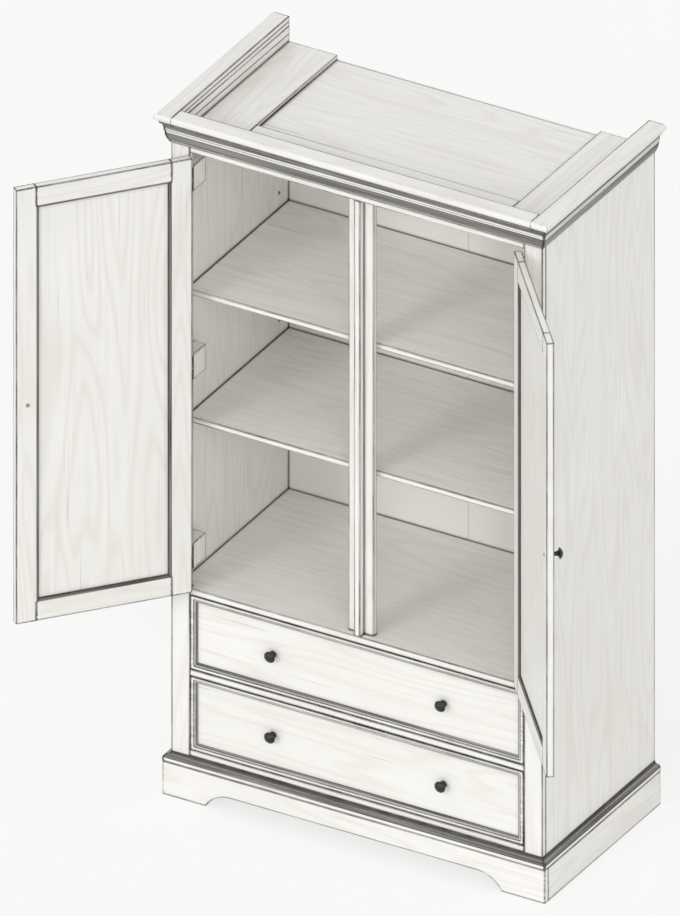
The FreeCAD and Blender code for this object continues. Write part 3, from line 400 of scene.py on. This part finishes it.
# The doors: mortised frames with moulded inner edges round thin flat panels, standing open at 130
# degrees. The stiles and the panel have upright grain, and the rails' grain turns with the door.
DOOR_TURN = {"left": math.radians(-130), "right": math.radians(130)}
DOOR_EASE = 0.0008
for side, turn in DOOR_TURN.items():
    rail_lacquer = satin_lacquer("satin_" + side + "_door_rail", "across", turn, MOULDING_TONE)
    rail_glazed = satin_lacquer("glazed_" + side + "_door_rail", "across", turn, MOULDING_TONE,
                                LEFT_ON_SLOPES)
    eased(side + "_door_panel", DOOR_EASE, MOULDING["upright"])
    for part in ("hinge_stile", "lock_stile"):
        eased(side + "_door_" + part, DOOR_EASE, MOULDING["upright"], (GLAZED["upright"], slopes(turn)))
    for part in ("top_rail", "bottom_rail"):
        eased(side + "_door_" + part, DOOR_EASE, rail_lacquer, (rail_glazed, slopes(turn)))

# The drawer boxes, their runners and the rails under the plinth: planed pine under a clear matt
# lacquer, so the growth lines and the fibres keep their own brown.
PINE_LIGHT = "#E3C79B"
PINE_DARK = "#B98650"
PINE_FIBRE = "#D2AC78"
PINE_GRAIN_SHOWING = 0.6
BOX_EASE = 0.0008


def clear_pine(name, grain):
    """Planed pine with brown growth lines and short fibre streaks, under matt clear lacquer."""
    finish, tree = new_finish(name)
    spot = add_node(tree, "ShaderNodeTexCoord").outputs["Object"]
    fibres = grain_noise(tree, spot, grain, 0.0, STREAK_LENGTH, STREAK_WIDTH, 4.0)
    rings = growth_rings(tree, spot, grain, 0.0)
    ground = add_node(tree, "ShaderNodeMix",
                      {"data_type": "RGBA", 6: linear(PINE_FIBRE), 7: linear(PINE_LIGHT)}, {0: fibres})
    strong = add_node(tree, "ShaderNodeMath", {"operation": "MULTIPLY", 1: PINE_GRAIN_SHOWING}, {0: rings})
    wood = add_node(tree, "ShaderNodeMix", {"data_type": "RGBA", 7: linear(PINE_DARK)},
                    {0: strong.outputs[0], 6: ground.outputs[2]})
    relief = add_node(tree, "ShaderNodeBump", {"Strength": 0.3, "Distance": FIBRE_RELIEF},
                      {"Height": fibres})
    surface = add_node(tree, "ShaderNodeBsdfPrincipled", {"IOR": LACQUER_IOR, "Roughness": 0.5},
                       {"Base Color": wood.outputs[2], "Normal": relief.outputs[0]})
    add_node(tree, "ShaderNodeOutputMaterial", {}, {"Surface": surface.outputs[0]})
    return finish


pine_across = clear_pine("clear_pine_across", "across")
pine_deep = clear_pine("clear_pine_deep", "deep")
for drawer in ("upper_drawer", "lower_drawer"):
    eased(drawer + "_sides", BOX_EASE, pine_deep)
    eased(drawer + "_bottom", BOX_EASE, pine_across)
    eased(drawer + "_back", BOX_EASE, pine_across)
eased("drawer_runners", BOX_EASE, pine_deep)
eased("base_rails", BOX_EASE, pine_across)

# The knobs: turned, dipped in satin black and screwed on from behind. Each has a flat rose, a
# slender neck and a mushroom head with a rounded rim.
BLACK_COAT = "#0D0D0D"
BLACK_COAT_RUBBED = "#1E1D1B"
HAND_RUB_SIZE = 0.011
# Each corner of the profile is a radius and a height, then an arc's radius and side where it is curved.
KNOB_PROFILE = ((0.0, 0.0), (0.0085, 0.0), (0.0085, 0.002), (0.0055, 0.0085, 0.0065, -1),
                (0.0145, 0.0176, 0.009, -1), (0.0145, 0.01885, 0.0007, 1), (0.0, 0.027, 0.017, 1))
KNOB_SEGMENTS = 64
ARC_STEPS = 12
FRAME_FRONT = -0.0881526
DRAWER_FIELD = FRAME_FRONT + 0.007
BOARD_BACK = FRAME_FRONT + 0.019
DRAWER_KNOB_X = 0.2365
DRAWER_KNOB_Z = {"lower_drawer": 0.23725, "upper_drawer": 0.46125}
DOOR_KNOB_X = {"left": -0.041, "right": 0.041}
DOOR_KNOB_Z = 1.1865
HINGE_AXIS_X = {"left": -0.46275, "right": 0.46275}
HINGE_AXIS_Y = FRAME_FRONT - 0.0033


def satin_black(name):
    """Black dip coat: deep and even, a little browner where hands rub it, with a fine ripple."""
    finish, tree = new_finish(name)
    spot = add_node(tree, "ShaderNodeTexCoord").outputs["Object"]
    rub = add_node(tree, "ShaderNodeTexNoise", {"Scale": 1 / HAND_RUB_SIZE, "Detail": 3.0}, {"Vector": spot})
    coat = add_node(tree, "ShaderNodeMix",
                    {"data_type": "RGBA", 6: linear(BLACK_COAT), 7: linear(BLACK_COAT_RUBBED)},
                    {0: rub.outputs["Fac"]})
    gloss = add_node(tree, "ShaderNodeMapRange", {"To Min": 0.28, "To Max": 0.45},
                     {"Value": rub.outputs["Fac"]})
    ripple = add_node(tree, "ShaderNodeBump", {"Strength": 0.2, "Distance": 0.0002},
                      {"Height": rub.outputs["Fac"]})
    surface = add_node(tree, "ShaderNodeBsdfPrincipled", {"IOR": 1.5},
                       {"Base Color": coat.outputs[2], "Roughness": gloss.outputs[0],
                        "Normal": ripple.outputs[0]})
    add_node(tree, "ShaderNodeOutputMaterial", {}, {"Surface": surface.outputs[0]})
    return finish


def profile_points(profile):
    """The points of a turned profile, with the arcs that lead to its curved corners."""
    points = [Vector(profile[0][:2])]
    for corner in profile[1:]:
        end = Vector(corner[:2])
        if len(corner) == 4:
            start, (radius, side) = points[-1], corner[2:]
            chord = end - start
            half = chord.length / 2
            normal = Vector((-chord.y, chord.x)).normalized() * side
            centre = (start + end) / 2 + normal * math.sqrt(max(radius * radius - half * half, 0.0))
            sweep = 2 * math.asin(min(half / radius, 1.0)) * side
            for step in range(1, ARC_STEPS):
                spoke = Matrix.Rotation(sweep * step / ARC_STEPS, 2) @ (start - centre)
                points.append(centre + spoke)
        points.append(end)
    return points


def turned_mesh(name, points, segments):
    """A closed solid turned about Z from (radius, height) points that start and end on the axis."""
    solid = bmesh.new()
    rings = []
    for radius, height in points:
        if radius < WELD_DISTANCE:
            rings.append([solid.verts.new((0, 0, height))])
            continue
        rings.append([solid.verts.new((radius * math.cos(math.tau * step / segments),
                                       radius * math.sin(math.tau * step / segments), height))
                      for step in range(segments)])
    for low, high in zip(rings, rings[1:]):
        for step in range(segments):
            following = (step + 1) % segments
            corners = [low[step % len(low)], low[following % len(low)],
                       high[following % len(high)], high[step % len(high)]]
            solid.faces.new(list(dict.fromkeys(corners)))
    bmesh.ops.recalc_face_normals(solid, faces=solid.faces)
    mesh = bpy.data.meshes.new(name)
    solid.to_mesh(mesh)
    solid.free()
    mesh.shade_smooth()
    mesh.set_sharp_from_angle(angle=EDGE_ANGLE)
    return mesh


def set_out_tree():
    """Geometry Nodes: one fixing on every spot, driven along the spot's own direction, each turned
    about that direction by a seeded random angle."""
    tree = bpy.data.node_groups.new("set_out_fixings", "GeometryNodeTree")
    for name, kind in (("Spots", "Geometry"), ("Fixing", "Object"), ("Finish", "Material"),
                       ("Most Turn", "Float"), ("Seed", "Int")):
        tree.interface.new_socket(name, in_out="INPUT", socket_type="NodeSocket" + kind)
    tree.interface.new_socket("Fixings", in_out="OUTPUT", socket_type="NodeSocketGeometry")
    given = add_node(tree, "NodeGroupInput").outputs
    drive = add_node(tree, "GeometryNodeInputNamedAttribute", {"data_type": "FLOAT_VECTOR", "Name": "drive"})
    aimed = add_node(tree, "FunctionNodeAlignRotationToVector", {"axis": "Z"},
                     {"Vector": drive.outputs["Attribute"]})
    angle = add_node(tree, "FunctionNodeRandomValue", {"data_type": "FLOAT", 2: 0.0},
                     {3: given["Most Turn"], "Seed": given["Seed"]})
    about = add_node(tree, "ShaderNodeCombineXYZ", {}, {"Z": angle.outputs[1]})
    spin = add_node(tree, "FunctionNodeEulerToRotation", {}, {0: about.outputs[0]})
    turned = add_node(tree, "FunctionNodeRotateRotation", {"rotation_space": "LOCAL"},
                      {0: aimed.outputs[0], 1: spin.outputs[0]})
    shape = add_node(tree, "GeometryNodeObjectInfo", {}, {"Object": given["Fixing"]})
    copies = add_node(tree, "GeometryNodeInstanceOnPoints", {},
                      {"Points": given["Spots"], "Instance": shape.outputs["Geometry"],
                       "Rotation": turned.outputs[0]})
    real = add_node(tree, "GeometryNodeRealizeInstances", {}, {"Geometry": copies.outputs[0]})
    coated = add_node(tree, "GeometryNodeSetMaterial", {},
                      {"Geometry": real.outputs[0], "Material": given["Finish"]})
    add_node(tree, "NodeGroupOutput", {}, {"Fixings": coated.outputs[0]})
    return tree


SET_OUT = set_out_tree()


def set_out(name, fixing, spots, finish, seed):
    """One mesh of a fixing's copies, set on spots of (place, direction)."""
    base = bpy.data.meshes.new(name)
    base.from_pydata([spot for spot, _ in spots], [], [])
    drive = base.attributes.new("drive", "FLOAT_VECTOR", "POINT")
    for row, (_, direction) in zip(drive.data, spots):
        row.vector = direction
    piece = place(name, base)
    pattern = place(name + "_pattern", fixing)
    modifier = piece.modifiers.new("fixings", "NODES")
    modifier.node_group = SET_OUT
    inputs = {"Fixing": pattern, "Finish": finish, "Most Turn": math.tau, "Seed": seed}
    for socket in SET_OUT.interface.items_tree:
        if socket.name in inputs:
            modifier[socket.identifier] = inputs[socket.name]
    shaped = piece.evaluated_get(bpy.context.evaluated_depsgraph_get())
    piece.data = bpy.data.meshes.new_from_object(shaped)
    piece.modifiers.clear()
    bpy.data.objects.remove(pattern)
    return piece


def swung(side, spots):
    """Spots on a closed door, carried round its hinge axis to where the door stands open."""
    pivot = Vector((HINGE_AXIS_X[side], HINGE_AXIS_Y, 0))
    turn = Matrix.Rotation(DOOR_TURN[side], 3, "Z")
    return [(pivot + turn @ (Vector(spot) - pivot), turn @ Vector(direction)) for spot, direction in spots]


OUT = Vector((0, -1, 0))
knob_mesh = turned_mesh("knob", profile_points(KNOB_PROFILE), KNOB_SEGMENTS)
knob_coat = satin_black("satin_black_dip")
for drawer, z in DRAWER_KNOB_Z.items():
    spots = [((x, DRAWER_FIELD, z), OUT) for x in (-DRAWER_KNOB_X, DRAWER_KNOB_X)]
    knobs = set_out(drawer + "_turned_knobs", knob_mesh, spots, knob_coat, seed=1)
    settle(knobs, drawer, drawer + "_knobs")
for side, x in DOOR_KNOB_X.items():
    spots = swung(side, [((x, FRAME_FRONT, DOOR_KNOB_Z), OUT)])
    knob = set_out(side + "_door_turned_knob", knob_mesh, spots, knob_coat, seed=2)
    settle(knob, side + "_door", side + "_door_knob")

# The screws: zinc-plated countersunk wood screws in the hinges and pan-head machine screws through
# the doors and drawer fronts into the knobs, all with a cross recess.
# The cross, as shares of the head's radius, and the share of it that is left at its bottom.
CROSS_REACH = 0.72
CROSS_HALF_WIDTH = 0.17
CROSS_TAPER = 0.55
HINGE_SCREW = ((0.0028, 0.0), (0.0015, 0.0012), (0.0015, 0.0140), (0.0003, 0.0160))
KNOB_SCREW = ((0.0024, -0.0024), (0.0035, -0.0019), (0.0040, -0.0010), (0.0040, 0.0), (0.0020, 0.0),
              (0.0020, 0.0215))
HINGE_SCREW_RECESS = 0.0010
KNOB_SCREW_RECESS = 0.0014
ZINC = "#B9B8B2"
ZINC_DULL = "#8E8C86"
ZINC_CLOUD_SIZE = 0.0025
HINGE_LEVELS = (0.663, 1.1865, 1.710)
# Each screw of a leaf: how far above the hinge's middle, and how far back from the frame's front.
SCREW_STEPS = ((-0.022, 0.006), (0.0, 0.011), (0.022, 0.006))
# The leaves' faces stand this far to each side of the hinge's axis.
LEAF_START = 0.00005


def zinc_plate(name):
    """Bright zinc on steel: a cool grey metal, duller in small clouds."""
    finish, tree = new_finish(name)
    spot = add_node(tree, "ShaderNodeTexCoord").outputs["Object"]
    clouds = add_node(tree, "ShaderNodeTexNoise",
                      {"Scale": 1 / ZINC_CLOUD_SIZE, "Detail": 2.0}, {"Vector": spot})
    metal = add_node(tree, "ShaderNodeMix",
                     {"data_type": "RGBA", 6: linear(ZINC), 7: linear(ZINC_DULL)},
                     {0: clouds.outputs["Fac"]})
    gloss = add_node(tree, "ShaderNodeMapRange", {"To Min": 0.28, "To Max": 0.5},
                     {"Value": clouds.outputs["Fac"]})
    surface = add_node(tree, "ShaderNodeBsdfPrincipled", {"Metallic": 1.0},
                       {"Base Color": metal.outputs[2], "Roughness": gloss.outputs[0]})
    add_node(tree, "ShaderNodeOutputMaterial", {}, {"Surface": surface.outputs[0]})
    return finish


def cross_outline(reach, half_width):
    """A cross recess as 24 points, three corners and three mid-points to each quarter turn."""
    corners = []
    for quarter in range(4):
        turn = Matrix.Rotation(quarter * math.pi / 2, 2)
        for corner in ((reach, -half_width), (reach, half_width), (half_width, half_width)):
            corners.append(turn @ Vector(corner))
    outline = []
    for corner, following in zip(corners, corners[1:] + corners[:1]):
        outline += [corner, (corner + following) / 2]
    return outline


def cross_screw(name, rings, recess_depth):
    """A screw about Z, driven towards +Z: its recess, then its rings from the head to the tip."""
    head_radius, head_level = rings[0]
    outline = [point * head_radius for point in cross_outline(CROSS_REACH, CROSS_HALF_WIDTH)]
    loops = [[(point.x * CROSS_TAPER, point.y * CROSS_TAPER, head_level + recess_depth) for point in outline],
             [(point.x, point.y, head_level) for point in outline]]
    spokes = [point.normalized() for point in outline]
    loops += [[(spoke.x * radius, spoke.y * radius, level) for spoke in spokes] for radius, level in rings]
    solid = bmesh.new()
    rows = [[solid.verts.new(point) for point in loop] for loop in loops]
    for low, high in zip(rows, rows[1:]):
        for step in range(len(low)):
            following = (step + 1) % len(low)
            solid.faces.new((low[step], low[following], high[following], high[step]))
    solid.faces.new(rows[0])
    solid.faces.new(rows[-1])
    bmesh.ops.recalc_face_normals(solid, faces=solid.faces)
    mesh = bpy.data.meshes.new(name)
    solid.to_mesh(mesh)
    solid.free()
    mesh.shade_smooth()
    mesh.set_sharp_from_angle(angle=EDGE_ANGLE)
    return mesh


def hinge_screw_spots(x, direction):
    """The heads of one side's nine hinge screws, on the face of a leaf that lies across X."""
    return [((x, FRAME_FRONT + depth, level + rise), direction)
            for level in HINGE_LEVELS for rise, depth in SCREW_STEPS]


zinc = zinc_plate("zinc_plate")
hinge_screw_mesh = cross_screw("hinge_screw", HINGE_SCREW, HINGE_SCREW_RECESS)
knob_screw_mesh = cross_screw("knob_screw", KNOB_SCREW, KNOB_SCREW_RECESS)
frame_spots = []
for side, sign in (("left", -1), ("right", 1)):
    x = HINGE_AXIS_X[side]
    frame_spots += hinge_screw_spots(x + sign * LEAF_START, Vector((sign, 0, 0)))
    door_spots = swung(side, hinge_screw_spots(x - sign * LEAF_START, Vector((-sign, 0, 0))))
    screws = set_out(side + "_door_hinge_screws", hinge_screw_mesh, door_spots, zinc, seed=3)
    settle(screws, side + "_door", side + "_door_screws")
    knob_spot = swung(side, [((DOOR_KNOB_X[side], BOARD_BACK, DOOR_KNOB_Z), OUT)])
    screw = set_out(side + "_door_knob_screw", knob_screw_mesh, knob_spot, zinc, seed=4)
    settle(screw, side + "_door", side + "_door_screws")
screws = set_out("frame_cross_screws", hinge_screw_mesh, frame_spots, zinc, seed=5)
settle(screws, "carcass", "frame_hinge_screws")
for drawer, z in DRAWER_KNOB_Z.items():
    spots = [((x, BOARD_BACK, z), OUT) for x in (-DRAWER_KNOB_X, DRAWER_KNOB_X)]
    screws = set_out(drawer + "_knob_screws", knob_screw_mesh, spots, zinc, seed=6)
    settle(screws, drawer, drawer + "_knobs")

# The butt hinges and their pins, and the shelf pins: rolled steel leaves browned dark, and
# zinc-plated pins with a collar.
BROWNED_STEEL = "#55504A"
BROWNED_STEEL_DARK = "#38342F"
BRUSH_LENGTH = 0.02
BRUSH_WIDTH = 0.0006


def browned_steel(name):
    """Steel with a dark browned skin, drawn into fine upright brush marks about 0.6 mm apart."""
    finish, tree = new_finish(name)
    spot = add_node(tree, "ShaderNodeTexCoord").outputs["Object"]
    brushed = grain_noise(tree, spot, "upright", 0.0, BRUSH_LENGTH, BRUSH_WIDTH, 2.0)
    metal = add_node(tree, "ShaderNodeMix",
                     {"data_type": "RGBA", 6: linear(BROWNED_STEEL), 7: linear(BROWNED_STEEL_DARK)},
                     {0: brushed})
    gloss = add_node(tree, "ShaderNodeMapRange", {"To Min": 0.3, "To Max": 0.5}, {"Value": brushed})
    surface = add_node(tree, "ShaderNodeBsdfPrincipled", {"Metallic": 1.0},
                       {"Base Color": metal.outputs[2], "Roughness": gloss.outputs[0]})
    add_node(tree, "ShaderNodeOutputMaterial", {}, {"Surface": surface.outputs[0]})
    return finish


METAL_EASE = 0.0002
hinge_skin = browned_steel("browned_steel")
for node in ("frame_hinge_leaves", "left_door_hinge_leaves", "right_door_hinge_leaves", "hinge_pins"):
    eased(node, METAL_EASE, hinge_skin)
eased("shelf_pins", METAL_EASE, zinc)

# The backs: two hardboards pinned into the rebates with flat-headed nails. The room side is smooth
# and painted white, and the rear is bare brown board with the weave of the press's wire.
HARDBOARD = "#8A6743"
HARDBOARD_DARK = "#6E4F31"
MOTTLE_SIZE = 0.017
# The wire's weave is about 1 mm across. It is drawn 4 mm across, so that it shows. At scale 1 a wave
# texture's bands are WAVE_STEP apart.
WEAVE_SIZE = 0.004
WAVE_STEP = math.tau / 20
# The ripple that a paint roller leaves is 1 to 2 mm across. It is drawn 4 mm across, so that it shows.
PEEL_SIZE = 0.004
# How far out of a corner the painted shade on the hardboard reaches, and the openness at which it is full and
# at which it is gone.
PAINT_TONE = (0.007, 0.40, 0.90)
BACK_EASE = 0.0010
FACING_REAR = 0.9
NAIL_PROUD = 0.0003
NAIL = ((0.0, -NAIL_PROUD), (0.0016, -NAIL_PROUD), (0.0021, -0.0001), (0.0021, 0.0), (0.0009, 0.0),
        (0.0009, 0.0120), (0.0, 0.0135))
NAIL_SEGMENTS = 16
NAIL_HEADS_Y = 0.451845
BACK_FACE = NAIL_HEADS_Y - NAIL_PROUD
NAIL_SPACING = 0.12
NAIL_COLUMN = 0.503
NAIL_COLUMN_SPAN = (0.16, 1.77)
NAIL_ROWS = (0.126, 0.57325, 1.800)
NAIL_ROW_SPAN = (0.03, 0.49)


def bare_hardboard(name):
    """Brown pressed fibre: mottled, matt, with a fine raised weave."""
    finish, tree = new_finish(name)
    spot = add_node(tree, "ShaderNodeTexCoord").outputs["Object"]
    mottle = add_node(tree, "ShaderNodeTexNoise",
                      {"Scale": 1 / MOTTLE_SIZE, "Detail": 6.0, "Roughness": 0.7}, {"Vector": spot})
    clouds = add_node(tree, "ShaderNodeTexNoise", {"Scale": 1 / CLOUD_SIZE, "Detail": 2.0}, {"Vector": spot})
    both = add_node(tree, "ShaderNodeMath", {"operation": "MULTIPLY"},
                    {0: mottle.outputs["Fac"], 1: clouds.outputs["Fac"]})
    depth = add_node(tree, "ShaderNodeMapRange", {"From Min": 0.12, "From Max": 0.38},
                     {"Value": both.outputs[0]})
    fibre = add_node(tree, "ShaderNodeMix",
                     {"data_type": "RGBA", 6: linear(HARDBOARD_DARK), 7: linear(HARDBOARD)},
                     {0: depth.outputs[0]})
    weave = [add_node(tree, "ShaderNodeTexWave",
                      {"bands_direction": way, "Scale": WAVE_STEP / WEAVE_SIZE}, {"Vector": spot})
             for way in ("X", "Z")]
    crossed = add_node(tree, "ShaderNodeMath", {"operation": "MULTIPLY"},
                       {0: weave[0].outputs["Fac"], 1: weave[1].outputs["Fac"]})
    relief = add_node(tree, "ShaderNodeBump", {"Strength": 0.5, "Distance": 0.0003},
                      {"Height": crossed.outputs[0]})
    surface = add_node(tree, "ShaderNodeBsdfPrincipled", {"IOR": 1.45, "Roughness": 0.75},
                       {"Base Color": fibre.outputs[2], "Normal": relief.outputs[0]})
    add_node(tree, "ShaderNodeOutputMaterial", {}, {"Surface": surface.outputs[0]})
    return finish


def painted_hardboard(name):
    """White paint rolled on hardboard: even, with no grain, and a fine orange-peel ripple. Painted shade
    darkens its corners.
    """
    finish, tree = new_finish(name)
    spot = add_node(tree, "ShaderNodeTexCoord").outputs["Object"]
    clouds = add_node(tree, "ShaderNodeTexNoise", {"Scale": 1 / CLOUD_SIZE, "Detail": 3.0}, {"Vector": spot})
    paint = add_node(tree, "ShaderNodeMix",
                     {"data_type": "RGBA", 6: linear(LACQUER_SHADE), 7: linear(LACQUER)},
                     {0: clouds.outputs["Fac"]})
    peel = add_node(tree, "ShaderNodeTexNoise", {"Scale": 1 / PEEL_SIZE, "Detail": 1.0}, {"Vector": spot})
    reach, closed, opened = PAINT_TONE
    # Painted shade: the colour darkens in corners and beside other parts, by how closed in each spot is.
    corner = add_node(tree, "ShaderNodeAmbientOcclusion", {"samples": CORNER_SAMPLES, "Distance": reach})
    shade_and_glaze = add_node(tree, "ShaderNodeMapRange",
                    {"From Min": closed, "From Max": opened, "To Min": PAINTED_SHADE_FULL, "To Max": 0.0},
                    {"Value": corner.outputs["AO"]})
    shaded_and_glazed = add_node(tree, "ShaderNodeMix", {"data_type": "RGBA", 7: linear(PAINTED_SHADE_AND_GLAZE)},
                      {0: shade_and_glaze.outputs[0], 6: paint.outputs[2]})
    relief = add_node(tree, "ShaderNodeBump", {"Strength": 0.2, "Distance": 0.0003},
                      {"Height": peel.outputs["Fac"]})
    surface = add_node(tree, "ShaderNodeBsdfPrincipled", {"IOR": LACQUER_IOR, "Roughness": 0.55},
                       {"Base Color": shaded_and_glazed.outputs[2], "Normal": relief.outputs[0]})
    add_node(tree, "ShaderNodeOutputMaterial", {}, {"Surface": surface.outputs[0]})
    return finish


def nail_spots(sign):
    """Nails down one side board and across half of the bottom, the floor and the top."""
    low, high = NAIL_COLUMN_SPAN
    steps = round((high - low) / NAIL_SPACING)
    spots = [(sign * NAIL_COLUMN, BACK_FACE, low + (high - low) * step / steps) for step in range(steps + 1)]
    near, far = NAIL_ROW_SPAN
    steps = round((far - near) / NAIL_SPACING)
    for z in NAIL_ROWS:
        spots += [(sign * (near + (far - near) * step / steps), BACK_FACE, z) for step in range(steps + 1)]
    return [(spot, OUT) for spot in spots]


room_side = painted_hardboard("painted_hardboard")
rear_side = bare_hardboard("bare_hardboard")
nail_mesh = turned_mesh("flat_nail", [Vector(point) for point in NAIL], NAIL_SEGMENTS)
for name, sign in (("back_panel_left", -1), ("back_panel_right", 1)):
    board = eased(name, BACK_EASE, room_side, (rear_side, lambda face: face.normal.y > FACING_REAR))
    # The nail heads stand proud of the board, so its rear face is drawn in by their height.
    for point in board.data.vertices:
        point.co.y = min(point.co.y, BACK_FACE)
    nails = set_out(name + "_nails", nail_mesh, nail_spots(sign), zinc, seed=7)
    settle(nails, "carcass", name)
